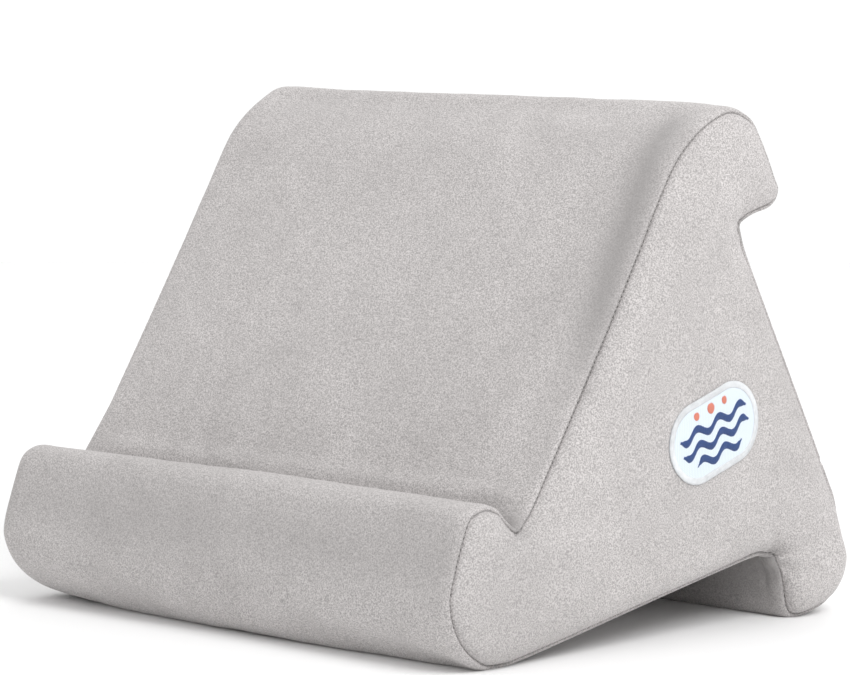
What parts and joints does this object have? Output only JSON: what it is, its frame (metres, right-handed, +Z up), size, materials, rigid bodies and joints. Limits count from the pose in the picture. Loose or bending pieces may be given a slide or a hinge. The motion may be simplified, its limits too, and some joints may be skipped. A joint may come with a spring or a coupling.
{
  "type": "tablet stand",
  "caption": "Soft wedge-shaped pillow stand for a tablet or book: a foam block in a zipped velvet cover, with a padded front roll and grooves that hold the device.",
  "frame": {"origin": "on the floor, under the middle of the stand's box", "axes": "X across the stand, with the patch on the +X side; +Y from the front roll to the back; +Z up"},
  "size_m": [0.2797, 0.243, 0.22],
  "materials": {
    "foam": "open-cell polyurethane foam, matt",
    "liner": "thin non-woven polyester",
    "velvet": "short-pile velvet with a brushed nap, soft sheen",
    "seam_thread": "spun polyester thread, matt",
    "zip_tape": "woven polyester tape, matt",
    "zip_coil": "nylon monofilament, satin",
    "zip_metal": "nickel-plated zinc alloy, slightly worn",
    "label_satin": "woven satin ribbon, soft gloss",
    "patch_twill": "twill patch cloth, matt",
    "patch_white_thread": "rayon embroidery thread, silky",
    "patch_navy_thread": "rayon embroidery thread, silky",
    "patch_coral_thread": "rayon embroidery thread, silky"
  },
  "bodies": {
    "stand": {"foam_core": "foam", "core_liner": "liner", "side_panel_left": "velvet", "side_panel_right": "velvet", "rest_face_panel": "velvet", "front_roll_panel": "velvet", "rear_foot_panel": "velvet", "back_panel": "velvet", "side_stitching_left": "seam_thread", "side_stitching_right": "seam_thread", "ledge_groove_stitching": "seam_thread", "lip_groove_stitching": "seam_thread", "foot_notch_stitching": "seam_thread", "zip_tape_upper": "zip_tape", "zip_tape_lower": "zip_tape", "zip_coil_upper": "zip_coil", "zip_coil_lower": "zip_coil", "zip_top_stops": "zip_metal", "zip_bottom_stop": "zip_metal", "zip_topstitching": "seam_thread", "care_label": "label_satin", "patch_cloth": "patch_twill", "patch_border": "patch_white_thread", "patch_waves": "patch_navy_thread", "patch_dots": "patch_coral_thread"},
    "slider": {"zip_slider": "zip_metal"},
    "pull_tab": {"zip_pull_tab": "zip_metal"}
  },
  "joints": [
    {"name": "zip_slide", "type": "slide", "parent": "stand", "child": "slider", "axis": [-1, 0, 0], "range_m": [0, 0.211]},
    {"name": "pull_tab_hinge", "type": "hinge", "parent": "slider", "child": "pull_tab", "pos_m": [0.1055, 0.1045, 0.06748], "axis": [0, 0.4762, -0.8794], "range_deg": [0, 180]}
  ]
}
